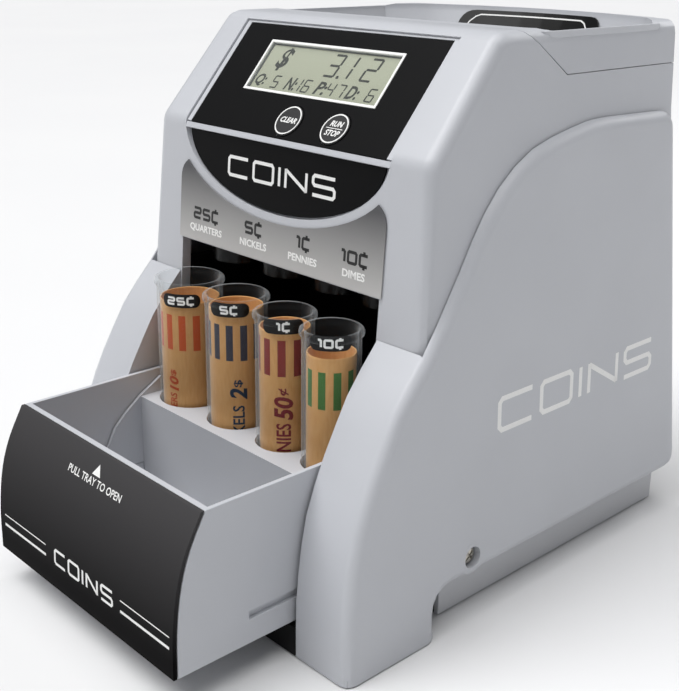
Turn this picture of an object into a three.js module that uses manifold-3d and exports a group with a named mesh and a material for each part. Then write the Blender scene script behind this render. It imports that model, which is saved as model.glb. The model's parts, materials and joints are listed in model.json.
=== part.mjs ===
// Coin sorting machine: a hopper and a turning disc on top, four chutes above four clear coin tubes,
// and a pull-out tray that carries the tubes. Millimetres, +Z up, front towards -Y.
import * as THREE from "three";
import { mergeVertices } from "three/addons/utils/BufferGeometryUtils.js";
import Module from "manifold-3d";

const wasm = await Module();
wasm.setup();

// Overall
const depthCentre = 5.75; // front to back middle of the machine, taken to y = 0 at the end
const clearance = 0.3; // gap between touching pieces
const floorGap = 0.4; // height of the housing's underside above the rubber feet's contact plane

// Side pods
const podInner = 62.3; // inner face of the arms at the floor
const podInnerDraft = 0.02;
const podOuter = 89.5; // outer face at the floor
const podOuterDraft = 0.036;
const podEdgeRadius = 4.5;
const podWall = 2.4;
const podLowerEdge = 19.2;
const podRearTop = 112.8;
const podTop = 184.6;
const podFoot = { front: -76, rear: -29.9 };

// Upper body
const bodyHalf = 78.4; // half width at the pods' top
const bodyDraft = 0.047;
const bodyWall = 2.6;
const frontWall = 4.4;
const bodyTop = 219;
const bodyBottom = 19.5;
const knee = { y: -30.4, z: 177.2 }; // where the front wall meets the console slope
const consoleTop = { y: 5.7, z: 219 };
const frontSlope = 0.074; // lean of the front wall
const rearBulge = 20.7; // how far the rear wall bows out in the middle
const rearLean = 0.129;
const bodyEdgeRadius = 5;
const seam = { yTop: 18.7, y: 43, z: 202.2 }; // joint line of the hopper rim moulding

// Console
const recessDepth = 2;
const overlayHalf = 56.8;
const overlayLength = 50.3;
const lcd = { x0: -37.7, x1: 38.6, s0: 18.5, s1: 43.3 };
const buttons = { clear: -0.4, run: 25.4, s: 7.6, radius: 6.8, travel: 1 };

// Bay, tray and tubes
const bay = { half: 59.3, top: 127.2 };
const tray = { half: 59.6, rear: -22, bottom: 13.4, top: 71.7, wall: 1.8, ledgeTop: 31 };
const groove = { bottom: 23, top: 26.3, depth: 1.6, front: -95 };
const shelf = { front: -61, rear: -25, top: 61.9, thickness: 2 };
const tubeRow = -43.6;
const tubeTop = 115.4;
const tubeWall = 1.1;
const tubes = [
  { name: "quarter", x: -42.2, outer: 27.4, wrap: 24.8 },
  { name: "nickel", x: -11, outer: 25, wrap: 21.9 },
  { name: "penny", x: 18.8, outer: 23, wrap: 19.8 },
  { name: "dime", x: 45, outer: 22.2, wrap: 18.6 },
];
const trayTravel = 51; // from fully closed to the drawn-out position

// Hopper and coin disc
const disc = { x: 0, y: 74, radius: 44, z: 167, thickness: 4.5 };

const colours = {
  housing: 0xc9cdd4,
  hopper: 0xcdd1d8,
  dark: 0x232323,
  black: 0x0d0d0d,
  tray: 0xc2c6cd,
  clear: 0xe6eef2,
  kraft: 0xb98a52,
  label: 0xa9a7a5,
  white: 0xf2f2f2,
  screen: 0xa9ab98,
  rubber: 0x1a1a1a,
  metal: 0xb9bbbd,
  board: 0x1f5a36,
  skirt: 0x85868a,
};

const machine = new THREE.Group();

function addPart(name, geometry, colour, roughness = 0.45, metalness = 0) {
  const material = new THREE.MeshStandardMaterial({ color: colour, roughness, metalness });
  const mesh = new THREE.Mesh(geometry, material);
  mesh.name = name;
  machine.add(mesh);
  return mesh;
}

// ---- solids ----
function solid(geometry) {
  const flat = geometry.index ? geometry.toNonIndexed() : geometry.clone();
  flat.deleteAttribute("normal");
  flat.deleteAttribute("uv");
  const merged = mergeVertices(flat, 1e-4);
  return new wasm.Manifold(
    new wasm.Mesh({
      numProp: 3,
      vertProperties: merged.attributes.position.array,
      triVerts: new Uint32Array(merged.index.array),
    }),
  );
}

function geometryOf(body) {
  const mesh = body.getMesh();
  const geometry = new THREE.BufferGeometry();
  geometry.setAttribute("position", new THREE.BufferAttribute(mesh.vertProperties.slice(), 3));
  geometry.setIndex(new THREE.BufferAttribute(mesh.triVerts.slice(), 1));
  geometry.computeVertexNormals();
  return geometry;
}

function union(...bodies) {
  return bodies.reduce((whole, next) => whole.add(next));
}

function cut(body, ...tools) {
  return tools.reduce((whole, tool) => whole.subtract(tool), body);
}

function block(x0, x1, y0, y1, z0, z1) {
  const box = new THREE.BoxGeometry(x1 - x0, y1 - y0, z1 - z0);
  return solid(box.translate((x0 + x1) / 2, (y0 + y1) / 2, (z0 + z1) / 2));
}

// A drum standing on z0, with its axis along Z.
function drum(x, y, z0, z1, radius, sides = 32) {
  const shape = new THREE.CylinderGeometry(radius, radius, z1 - z0, sides);
  return solid(shape.rotateX(Math.PI / 2).translate(x, y, (z0 + z1) / 2));
}

// A prism whose outline is given in the YZ plane, running from x0 to x1.
function prismX(outline, x0, x1) {
  const shape = new THREE.Shape(outline.map(([y, z]) => new THREE.Vector2(y, z)));
  const body = new THREE.ExtrudeGeometry(shape, { depth: x1 - x0, bevelEnabled: false });
  const turn = new THREE.Matrix4().makeBasis(
    new THREE.Vector3(0, 1, 0),
    new THREE.Vector3(0, 0, 1),
    new THREE.Vector3(1, 0, 0),
  );
  return solid(body.applyMatrix4(turn).translate(x0, 0, 0));
}

// A prism whose outline is given in plan, running from z0 to z1.
function prismZ(outline, z0, z1) {
  const shape = new THREE.Shape(outline.map(([x, y]) => new THREE.Vector2(x, y)));
  const body = new THREE.ExtrudeGeometry(shape, { depth: z1 - z0, bevelEnabled: false });
  return solid(body.translate(0, 0, z0));
}

// Turns a list of corners [u, v, radius] into an outline with rounded corners.
function rounded(corners, steps = 5) {
  const points = [];
  corners.forEach(([u, v, radius = 0], i) => {
    const [pu, pv] = corners[(i + corners.length - 1) % corners.length];
    const [nu, nv] = corners[(i + 1) % corners.length];
    if (radius === 0) {
      points.push([u, v]);
      return;
    }
    const here = new THREE.Vector2(u, v);
    const back = new THREE.Vector2(pu, pv).sub(here).normalize();
    const ahead = new THREE.Vector2(nu, nv).sub(here).normalize();
    const half = Math.acos(THREE.MathUtils.clamp(back.dot(ahead), -1, 1)) / 2;
    const reach = radius / Math.tan(half);
    const start = here.clone().addScaledVector(back, reach);
    const end = here.clone().addScaledVector(ahead, reach);
    const curve = new THREE.QuadraticBezierCurve(start, here, end);
    curve.getPoints(steps).forEach((p) => points.push([p.x, p.y]));
  });
  return points;
}

function splineOutline(points, count) {
  const curve = new THREE.SplineCurve(points.map(([u, v]) => new THREE.Vector2(u, v)));
  return curve.getSpacedPoints(count).map((p) => [p.x, p.y]);
}

// Moves every corner of a counter-clockwise outline inwards by a distance.
function inset(outline, distance) {
  return outline.map(([u, v], i) => {
    const [pu, pv] = outline[(i + outline.length - 1) % outline.length];
    const [nu, nv] = outline[(i + 1) % outline.length];
    const a = new THREE.Vector2(-(v - pv), u - pu).normalize();
    const b = new THREE.Vector2(-(nv - v), nu - u).normalize();
    const mitre = a.clone().add(b).normalize();
    const length = distance / Math.max(mitre.dot(a), 0.5);
    return [u + mitre.x * length, v + mitre.y * length];
  });
}

// A body built of YZ outlines at a row of x stations, capped at both ends.
function loftX(stations) {
  const positions = [];
  const faces = [];
  const count = stations[0].outline.length;
  stations.forEach(({ x, outline }) => outline.forEach(([y, z]) => positions.push(x, y, z)));
  for (let ring = 0; ring < stations.length - 1; ring += 1) {
    for (let i = 0; i < count; i += 1) {
      const a = ring * count + i;
      const b = ring * count + ((i + 1) % count);
      faces.push(a, b, b + count, a, b + count, a + count);
    }
  }
  const last = (stations.length - 1) * count;
  const contour = stations[0].outline.map(([y, z]) => new THREE.Vector2(y, z));
  THREE.ShapeUtils.triangulateShape(contour, []).forEach(([a, b, c]) => faces.push(a, c, b));
  const far = stations[stations.length - 1].outline.map(([y, z]) => new THREE.Vector2(y, z));
  THREE.ShapeUtils.triangulateShape(far, []).forEach(([a, b, c]) =>
    faces.push(last + a, last + b, last + c),
  );
  const geometry = new THREE.BufferGeometry();
  geometry.setAttribute("position", new THREE.Float32BufferAttribute(positions, 3));
  geometry.setIndex(faces);
  return geometry;
}

// Stations that round an outline over into its end face at x, with the given edge radius.
function roundedEnd(outline, x, side, radius, steps = 3) {
  const stations = [];
  for (let i = 0; i <= steps; i += 1) {
    const angle = (i / steps) * (Math.PI / 2);
    stations.push({
      x: x - side * radius * (1 - Math.sin(angle)),
      outline: inset(outline, radius * (1 - Math.cos(angle))),
    });
  }
  return side > 0 ? stations : stations.reverse();
}

// Applies a function of (x, y, z) to every corner of a geometry.
function shaped(geometry, place) {
  const position = geometry.attributes.position;
  for (let i = 0; i < position.count; i += 1) {
    const [x, y, z] = place(position.getX(i), position.getY(i), position.getZ(i));
    position.setXYZ(i, x, y, z);
  }
  return geometry;
}

function mirrored(body) {
  const geometry = geometryOf(body);
  shaped(geometry, (x, y, z) => [-x, y, z]);
  const index = geometry.index.array;
  for (let i = 0; i < index.length; i += 3) [index[i + 1], index[i + 2]] = [index[i + 2], index[i + 1]];
  return solid(geometry);
}

// Places a body made in a local frame (x, along, out) on a plane that leans by an angle from level.
function onPlane(body, origin, angle) {
  const turn = new THREE.Matrix4().makeRotationX(angle).setPosition(0, origin.y, origin.z);
  return solid(geometryOf(body).applyMatrix4(turn));
}

const consoleAngle = Math.atan2(consoleTop.z - knee.z, consoleTop.y - knee.y);
const frontAngle = Math.PI / 2 - Math.atan(frontSlope);
const frontY = (z) => knee.y - frontSlope * (knee.z - z);

// ---- upper body ----
const bodyWidest = 81.8; // half width of the hidden part between the pods

function bodySide(z) {
  return bodyHalf + bodyDraft * (podTop - z);
}

function bodyOutline(bottom) {
  return rounded(
    [
      [frontY(bottom), bottom],
      [podRearTop + rearBulge + 10, bottom],
      [podRearTop + rearBulge + 10, bodyTop],
      [consoleTop.y, consoleTop.z, 9],
      [knee.y, knee.z, 9],
    ],
    4,
  );
}

// The plan outline of the body, with the bowed rear wall.
function planOutline(offset) {
  const points = [];
  const half = bodyHalf + 6 - offset;
  for (let i = 0; i <= 20; i += 1) {
    const t = i / 10 - 1;
    points.push([half * -t, podRearTop - offset + rearBulge * (1 - t * t)]);
  }
  return [[-half, -70], [half, -70], ...points];
}

// How far the rear wall stands back from its plan outline, less in the middle than at the sides.
function leanAt(x, z) {
  const t = THREE.MathUtils.clamp(x / (bodyHalf + 6), -1, 1);
  const lean = (z < podTop ? rearLean : 0.038) * (podTop - z);
  return lean * (1 - 0.75 * (1 - t * t));
}

function leanBack(x, y, z) {
  return [x, y + leanAt(x, z) * THREE.MathUtils.clamp((y - 20) / 90, 0, 1), z];
}

// The filled body, its walls moved in by an offset.
function bodyBlock(offset, front, bottom) {
  const outline = inset(bodyOutline(bottom), front);
  const half = bodyHalf - offset;
  const radius = Math.max(bodyEdgeRadius - offset, 2);
  const stations = [
    ...roundedEnd(outline, -half, -1, radius),
    ...roundedEnd(outline, half, 1, radius),
  ];
  const lofted = shaped(loftX(stations), (x, y, z) => [x * (1 + (bodySide(z) - bodyHalf) / bodyHalf), y, z]);
  const plan = prismZ(planOutline(offset), -20, bodyTop + 20);
  const widest = bodyWidest - offset;
  const level = solid(lofted).intersect(plan).intersect(block(-widest, widest, -90, 200, -20, 260));
  const halves = [
    [-20, podTop],
    [podTop, 260],
  ].map(([z0, z1]) => level.intersect(block(-100, 100, -90, 200, z0, z1)));
  return union(...halves.map((part) => solid(shaped(geometryOf(part), leanBack))));
}

const bodyOuter = bodyBlock(0, 0.001, bodyBottom);
const bodyInner = bodyBlock(bodyWall, frontWall, bodyBottom - 12);

// Everything above the seam belongs to the hopper rim moulding.
function aboveSeam(gap) {
  return prismX(
    [
      [seam.yTop + gap, bodyTop + 10],
      [seam.yTop + gap, bodyTop + 0.01],
      [seam.y + gap, seam.z + gap],
      [200, seam.z + gap],
      [200, bodyTop + 10],
    ],
    -100,
    100,
  );
}

// ---- hopper ----
const mouthTop = { half: 74.5, front: 29, rear: 2.9 };

// Plan outline of the hopper mouth: squarish, with a bowed rear side.
function mouthOutline(shrink, grow) {
  const half = mouthTop.half - shrink + grow;
  const front = mouthTop.front + shrink * 0.8 - grow;
  const rear = podRearTop - mouthTop.rear - shrink * 0.75 + grow;
  const bow = rearBulge * Math.max(0.1, 1 - shrink / 30);
  const points = [];
  for (let i = 0; i <= 12; i += 1) {
    const t = 1 - i / 6;
    const edge = Math.max(0, Math.abs(t) - 0.86) / 0.14;
    points.push([half * t, rear + bow * (1 - t * t) - 9 * edge * edge]);
  }
  return [...rounded([[-half, front, 9], [half, front, 9]].concat([[half, front + 40], [-half, front + 40]]))
    .filter(([, y]) => y < front + 39), ...points];
}

// A funnel-shaped plug between the hopper mouth and a smaller outline lower down.
function hopperPlug(grow) {
  const levels = [
    { z: bodyTop + 5, shrink: -1.5 },
    { z: bodyTop - 3, shrink: 0 },
    { z: 190, shrink: 10 },
  ];
  return loftLevels(levels.map(({ z, shrink }) => ({ z, outline: mouthOutline(shrink, grow) })));
}

// A body built of plan outlines at a column of heights, capped at both ends.
function loftLevels(levels) {
  const turned = levels
    .slice()
    .sort((a, b) => a.z - b.z)
    .map(({ z, outline }) => ({ x: z, outline }));
  const geometry = shaped(loftX(turned), (x, y, z) => [y, z, x]);
  return solid(geometry);
}

function hopperShell() {
  const rim = cut(bodyOuter, bodyInner).intersect(aboveSeam(clearance / 2));
  const skin = hopperPlug(2.2).intersect(block(-100, 100, -100, 200, 190.3, bodyTop - 1));
  const shell = union(rim, skin);
  return cut(shell, hopperPlug(0), block(-100, 100, 0, 200, 100, 190.5));
}

function frontHousing() {
  const shell = cut(bodyOuter, bodyInner, aboveSeam(-clearance / 2), hopperPlug(2.6));
  const slopeRecess = onPlane(
    block(-overlayHalf - 3, overlayHalf + 3, -1.6, overlayLength + 1.4, -recessDepth, 12),
    knee,
    consoleAngle,
  );
  const frontRecess = onPlane(halfEllipse(overlayHalf + 3, 30.4, 3, -recessDepth, 12), knee, frontAngle);
  const window = onPlane(block(lcd.x0 + 1, lcd.x1 - 1, lcd.s0 + 1, lcd.s1 - 1, -12, 2), knee, consoleAngle);
  const holes = [buttons.clear, buttons.run].map((x) =>
    onPlane(drum(x, buttons.s, -12, 2, buttons.radius + 0.3, 24), knee, consoleAngle),
  );
  const mouth = block(-bay.half, bay.half, -60, 0, 0, bay.top);
  const behindArms = block(-100, 100, -60, -20, 0, 100);
  const cover = block(-60, 60, 60, 200, 45, 160);
  return cut(shell, slopeRecess, frontRecess, window, ...holes, mouth, behindArms, cover);
}

// A flat half ellipse hanging from a straight top edge, in a local frame (x, along, out).
function halfEllipse(half, depth, top, out0, out1) {
  const points = [];
  for (let i = 0; i <= 28; i += 1) {
    const angle = Math.PI + (i / 28) * Math.PI;
    points.push([half * Math.cos(angle), depth * Math.sin(angle) + Math.min(top, 0)]);
  }
  if (top > 0) points.push([half, top], [-half, top]);
  return prismZ(points, out0, out1);
}

function backCover() {
  const opening = block(-60 + clearance, 60 - clearance, 60, 200, 45 + clearance, 160 - clearance);
  const plate = cut(bodyOuter, bodyInner).intersect(opening);
  const inlet = solid(
    new THREE.CylinderGeometry(5.6, 5.6, 80, 24).translate(dcInlet.x, 110, dcInlet.z),
  );
  return cut(plate, inlet, ...coverScrewPlaces.map(([x, z]) => coverScrewHole(x, z)));
}

const dcInlet = { x: 42, z: 62 };
const coverScrewPlaces = [
  [-52, 53],
  [52, 53],
  [-52, 152],
  [52, 152],
];

function rearY(x, z) {
  const t = x / (bodyHalf + 6);
  return podRearTop + rearBulge * (1 - t * t) + leanAt(x, z);
}

function coverScrewHole(x, z) {
  const y = rearY(x, z) - 1;
  const well = solid(new THREE.CylinderGeometry(3.1, 3.1, 6, 20).translate(x, y + 1.8, z));
  const hole = solid(new THREE.CylinderGeometry(1.8, 1.8, 12, 14).translate(x, y, z));
  return well.add(hole);
}

// ---- side pods ----
function podOutline() {
  const front = splineOutline(
    [
      [55.2, 184],
      [33.8, 180.2],
      [17.8, 174.9],
      [2.7, 164.2],
      [-7.6, 152.2],
      [-16.5, 138.8],
      [-27.1, 123.7],
      [-35, 113],
      [-48.3, 97.9],
      [-56.4, 84.6],
      [-63.5, 71.2],
      [-70.6, 53.4],
      [-75, 26.7],
      [podFoot.front, 0.4],
    ],
    22,
  );
  const rest = rounded([
    [podFoot.front, -12],
    [podFoot.rear, -12],
    [podFoot.rear, podLowerEdge, 9],
    [133.9, podLowerEdge, 8],
    [podRearTop, 183.5, 8],
    [67.6, podTop],
    [60, 184.4],
  ], 4);
  return [...rest, ...front];
}

function podSide(x, y, z) {
  const blend = (x - podInner) / (podOuter - podInner);
  return [x - z * (podInnerDraft * (1 - blend) + podOuterDraft * blend), y, z];
}

function pod() {
  const outline = podOutline();
  const outer = shaped(
    loftX([{ x: podInner, outline }, ...roundedEnd(outline, podOuter, 1, podEdgeRadius)]),
    podSide,
  );
  const hollowLine = inset(outline, podWall);
  const hollow = shaped(
    loftX([
      { x: podInner + podWall, outline: hollowLine },
      ...roundedEnd(hollowLine, podOuter - podWall, 1, podEdgeRadius - 1.5),
    ]),
    podSide,
  );
  const below = block(0, 200, -200, 200, -60, floorGap);
  const screwWell = solid(
    new THREE.CylinderGeometry(4.4, 4.4, 5, 24).rotateZ(Math.PI / 2).translate(87.4, -10.1, 26.8),
  );
  const screwHole = solid(
    new THREE.CylinderGeometry(2.1, 2.1, 12, 16).rotateZ(Math.PI / 2).translate(84, -10.1, 26.8),
  );
  const footWell = drum(76, -53, -5, 2.6, 6.8, 28);
  const floorPlate = block(podInner + 0.6, podOuter - 1.4, podFoot.front + 1, podFoot.rear - 1, floorGap, 3);
  const boss = solid(
    new THREE.CylinderGeometry(6.5, 6.5, 5.6, 24).rotateZ(Math.PI / 2).translate(podOuter - 3.9, -10.1, 26.8),
  );
  const shell = union(cut(solid(outer), solid(hollow)), floorPlate, boss);
  return cut(shell, bodyFit(), below, footWell, screwWell, screwHole);
}

// The room that the upper body takes inside the pods, with its clearance.
function bodyFit() {
  const low = bodyBottom - 1;
  const outline = [
    [frontY(low) - clearance, low],
    [200, low],
    [200, 260],
    [frontY(260) - clearance, 260],
  ];
  const geometry = loftX([
    { x: 0, outline },
    { x: 1, outline },
  ]);
  const wedge = solid(shaped(geometry, (x, y, z) => [x * (bodySide(z) + clearance), y, z]));
  return wedge.intersect(block(-1, bodyWidest + clearance, -90, 210, 0, 270));
}

// A round-headed screw with its shaft, its head's outer face at z = 0 and its shaft along -Z.
function screw(headRadius, shaftRadius, length) {
  const profile = [
    [0, -length],
    [shaftRadius, -length],
    [shaftRadius, -1.6],
    [headRadius, -1.6],
    [headRadius, -0.5],
    [headRadius * 0.6, 0],
    [0, 0],
  ].map(([r, z]) => new THREE.Vector2(r, z));
  return new THREE.LatheGeometry(profile, 10).rotateX(Math.PI / 2);
}

// ---- base ----
function skirt() {
  return block(76.6, 79, -17.7, 130.3, floorGap, podLowerEdge);
}

function basePan() {
  const front = block(-61.6, 61.6, -76, -18, floorGap, 12);
  const rear = block(-76.3, 76.3, -18.1, 130.3, floorGap, 12);
  const frontHollow = block(-59.4, 59.4, -73.8, -10, -5, 9.6);
  const rearHollow = block(-74.1, 74.1, -15.9, 128.1, -5, 9.6);
  const rearWall = block(-76.3, 76.3, 127.9, 130.3, 11, 19.2);
  const sideWalls = [-1, 1].map((side) =>
    block(Math.min(side * 74.1, side * 76.3), Math.max(side * 74.1, side * 76.3), -18.1, 130.3, 11, 19.2),
  );
  const pads = [-64, 64].map((x) => block(x - 8, x + 8, 104, 120, floorGap, 10));
  const wells = [-64, 64].map((x) => drum(x, 112, -5, 2.6, 6.8, 28));
  return cut(union(cut(union(front, rear), frontHollow, rearHollow), rearWall, ...sideWalls, ...pads), ...wells);
}

// The flat plate that closes the base from below, notched round the rear foot pads.
function basePlate() {
  const front = block(-59.1, 59.1, -73.5, -10, floorGap + 0.2, 2.6);
  const rear = block(-73.8, 73.8, -15.6, 127.8, floorGap + 0.2, 2.6);
  const pads = [-64, 64].map((x) => block(x - 8.3, x + 8.3, 103.7, 120.3, -5, 10));
  return cut(union(front, rear), ...pads);
}

function foot(x, y) {
  return new THREE.CylinderGeometry(6.4, 6, 2.3, 20).rotateX(-Math.PI / 2).translate(x, y, 1.15);
}

// ---- tube bay ----
function bayLiner() {
  const outer = block(-61.9, 61.9, -29.5, 36, 12.3, 118);
  const inner = block(-60.4, 60.4, -40, 34, 0, 130);
  return cut(outer, inner);
}

function trayRail() {
  return block(58.4, 60.1, -33, 28, groove.bottom + 0.4, groove.top - 0.4);
}

// Front curve of the tray from its top edge down to its bottom edge.
function trayFrontCurve(back) {
  const curve = splineOutline(
    [
      [-114.2, tray.top],
      [-121, 58.7],
      [-124.8, 46.5],
      [-126.9, 31],
      [-127.3, tray.bottom],
    ],
    14,
  );
  return curve.map(([y, z]) => [y + back, z]);
}

function coinTray() {
  const outline = [[tray.rear, tray.bottom], [tray.rear, tray.top], ...trayFrontCurve(1.9)];
  const room = [
    [tray.rear - tray.wall, tray.bottom + tray.wall],
    [tray.rear - tray.wall, tray.top + 5],
    [-110.2, tray.top + 5],
    ...trayFrontCurve(4),
  ].map(([y, z]) => [y, z === tray.bottom ? tray.bottom + tray.wall : z]);
  const upper = prismX(room, -tray.half + tray.wall, tray.half - tray.wall);
  const narrow = prismX(room, -tray.half + 3.4, tray.half - 3.4);
  const above = block(-80, 80, -200, 50, tray.ledgeTop, 120);
  const grooves = [-1, 1].map((side) => {
    const near = side * (tray.half - groove.depth);
    const far = side * (tray.half + 3);
    return block(
      Math.min(near, far), Math.max(near, far), groove.front, 0, groove.bottom, groove.top,
    );
  });
  return cut(prismX(outline, -tray.half, tray.half), narrow, upper.intersect(above), ...grooves);
}

function trayFront() {
  const face = trayFrontCurve(0);
  const back = trayFrontCurve(1.6).reverse();
  return prismX([...face, ...back], -tray.half, tray.half);
}

function cheek(side) {
  const line = [
    [-50, tray.ledgeTop + 0.3],
    [-50, 68.6],
    [-52.4, 67.3],
    [-60.8, 62.3],
    [-68.7, 56.1],
    [-74.1, 50.8],
    [-78.2, 42.9],
    [-80.6, 36],
    [-81.6, tray.ledgeTop + 0.3],
  ];
  const x0 = side < 0 ? -57.4 : 56;
  return prismX(line, x0, x0 + 1.4);
}

function tubeRack() {
  const top = block(-57.4, 57.4, shelf.front, shelf.rear, shelf.top - shelf.thickness, shelf.top);
  const front = block(-57.4, 57.4, shelf.front, shelf.front + 1.8, tray.ledgeTop + 0.3, shelf.top);
  const frontLow = block(-55.9, 55.9, shelf.front, shelf.front + 1.8, 15.5, tray.ledgeTop + 1);
  const rear = block(-55.9, 55.9, shelf.rear - 1.8, shelf.rear, 15.5, shelf.top);
  const holes = tubes.map(({ x, outer }) => drum(x, tubeRow, 40, 80, outer / 2 + 0.4, 28));
  const cheeks = [cheek(-1), cheek(1)];
  return cut(union(top, front, frontLow, rear, ...cheeks), ...holes);
}

// A clear tube with a closed bottom and a beaded rim.
function tube({ outer }) {
  const r = outer / 2;
  const profile = [
    [0, 15.6],
    [r - 0.6, 15.6],
    [r, 16.2],
    [r, tubeTop - 3],
    [r + 1, tubeTop - 2],
    [r + 1, tubeTop - 0.6],
    [r + 0.4, tubeTop],
    [r - tubeWall, tubeTop],
    [r - tubeWall, 17.1],
    [0, 17.1],
  ].map(([a, b]) => new THREE.Vector2(a, b));
  return new THREE.LatheGeometry(profile, 24).rotateX(Math.PI / 2);
}

function wrapper({ wrap }) {
  const r = wrap / 2;
  const profile = [
    [r - 0.5, 17.5],
    [r, 17.5],
    [r, 107.5],
    [r - 0.5, 107.5],
    [r - 0.5, 17.5],
  ].map(([a, b]) => new THREE.Vector2(a, b));
  return new THREE.LatheGeometry(profile, 24).rotateX(Math.PI / 2);
}

// Black block with a half-round lobe in front of each tube place and a drop hole above each closed tube.
function chuteBlock() {
  const back = block(-58, 58, -14, 30, 118.9, 148);
  const lobes = tubes.map(({ x, outer }) => drum(x, -15, 118.9, 126.4, outer / 2 - 0.6, 28));
  const drops = tubes.map(({ x, wrap }) => drum(x, tubeRow + trayTravel, 100, 170, wrap / 2 - 1, 20));
  return cut(union(back, ...lobes), ...drops);
}

function coinRail() {
  const plate = block(-58, 58, -4, 34, 148.4, 151.4);
  const fence = block(-58, 58, 32, 34, 151, 158);
  const slots = tubes.map(({ x, wrap }) => drum(x, tubeRow + trayTravel, 140, 170, wrap / 2 - 0.6, 20));
  return cut(union(plate, fence), ...slots);
}

// ---- coin disc and its drive ----
function coinPlate() {
  const floor = drum(disc.x, disc.y, 162.2, 165.9, 48, 36);
  const ring = cut(drum(disc.x, disc.y, 165, 173, 48, 36), drum(disc.x, disc.y, 160, 180, 45.4, 36));
  return cut(union(floor, ring), drum(disc.x, disc.y, 150, 180, 5.2, 24));
}

function coinDisc() {
  const plate = drum(disc.x, disc.y, 166.3, 170, disc.radius, 36);
  const shaft = drum(disc.x, disc.y, 158.2, 168, 4.6, 24);
  const cone = new THREE.CylinderGeometry(3, 13, 9, 24).rotateX(Math.PI / 2);
  const hub = solid(cone.translate(disc.x, disc.y, 173.5));
  const ribs = [0, 1, 2].map((i) => {
    const bar = new THREE.BoxGeometry(24, 5, 3).translate(25, 0, 171);
    return solid(bar.rotateZ((i * Math.PI * 2) / 3).translate(disc.x, disc.y, 0));
  });
  return union(plate, shaft, hub, ...ribs);
}

function hopperFloor() {
  const levels = (grow) => [
    { z: 173.4 - (grow ? 0 : 3), outline: circle(40.5 + grow) },
    { z: 189.9 + (grow ? 0 : 3), outline: mouthOutline(12 + (grow ? 0 : -1.8), grow) },
  ];
  const outer = loftBetween(levels(2.2));
  const inner = loftBetween(levels(0));
  const flange = cut(drum(disc.x, disc.y, 173.4, 175.6, 47.5, 36), drum(disc.x, disc.y, 170, 180, 42, 36));
  return cut(union(outer, flange), inner);
}

function circle(radius) {
  const points = [];
  for (let i = 0; i < 40; i += 1) {
    const angle = (i / 40) * Math.PI * 2;
    points.push([disc.x + radius * Math.cos(angle), disc.y + radius * Math.sin(angle)]);
  }
  return points;
}

// Joins two closed plan outlines by resampling both by direction from the disc's centre.
function loftBetween(levels) {
  const sampled = levels.map(({ z, outline }) => ({ z, outline: resampled(outline, 40) }));
  return loftLevels(sampled);
}

function resampled(outline, count) {
  const points = [];
  for (let i = 0; i < count; i += 1) {
    const angle = (i / count) * Math.PI * 2;
    const along = new THREE.Vector2(Math.cos(angle), Math.sin(angle));
    points.push(crossing(outline, along));
  }
  return points;
}

// Where a ray from the disc's centre meets a closed outline.
function crossing(outline, along) {
  let best = [disc.x + along.x, disc.y + along.y];
  outline.forEach(([ax, ay], i) => {
    const [bx, by] = outline[(i + 1) % outline.length];
    const ex = bx - ax;
    const ey = by - ay;
    const det = along.x * -ey + along.y * ex;
    if (Math.abs(det) < 1e-9) return;
    const px = ax - disc.x;
    const py = ay - disc.y;
    const distance = (px * -ey + py * ex) / det;
    const share = (along.x * py - along.y * px) / det;
    if (distance > 0 && share >= 0 && share <= 1) {
      best = [disc.x + along.x * distance, disc.y + along.y * distance];
    }
  });
  return best;
}

// ---- console pieces, in the slope's own frame ----
function onConsole(body) {
  return onPlane(body, knee, consoleAngle);
}

function onFront(body) {
  return onPlane(body, knee, frontAngle);
}

function consoleOverlay() {
  const plate = block(-overlayHalf, overlayHalf, -0.3, overlayLength, -1.7, -0.9);
  const window = block(lcd.x0, lcd.x1, lcd.s0, lcd.s1, -5, 5);
  const holes = [buttons.clear, buttons.run].map((x) => drum(x, buttons.s, -5, 5, buttons.radius + 0.3, 24));
  return onConsole(cut(plate, window, ...holes));
}

function lcdBezel() {
  const frame = block(lcd.x0 + 0.2, lcd.x1 - 0.2, lcd.s0 + 0.2, lcd.s1 - 0.2, -1.7, -0.8);
  return onConsole(cut(frame, block(lcd.x0 + 1.3, lcd.x1 - 1.3, lcd.s0 + 1.3, lcd.s1 - 1.3, -5, 5)));
}

function lcdWindow() {
  return onConsole(block(lcd.x0 + 1.6, lcd.x1 - 1.6, lcd.s0 + 1.6, lcd.s1 - 1.6, -1.7, -0.9));
}

function lcdModule() {
  const glass = block(lcd.x0 + 1.6, lcd.x1 - 1.6, lcd.s0 + 1.6, lcd.s1 - 1.6, -7, -2.3);
  const carrier = block(lcd.x0 - 2, lcd.x1 + 2, lcd.s0 - 2, lcd.s1 + 2, -9.5, -6.8);
  return onConsole(union(glass, carrier));
}

// A push button cap: a round face with a skirt that keeps it behind the housing.
function buttonCap(x) {
  const face = drum(x, buttons.s, -7, -0.3, buttons.radius, 24);
  const skirtRing = drum(x, buttons.s, -8.4, -6.9, buttons.radius + 1.6, 24);
  return onConsole(union(face, skirtRing));
}

function buttonPad(x) {
  return onConsole(drum(x, buttons.s, -11.2, -9.7, 4.2, 20));
}

function consoleBoard() {
  return onConsole(block(-20, 40, -1, 16.2, -13.1, -11.5));
}

function lowerOverlay() {
  return onFront(halfEllipse(overlayHalf + 0.3, 27.4, -2.3, -1.7, -0.9));
}

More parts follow.
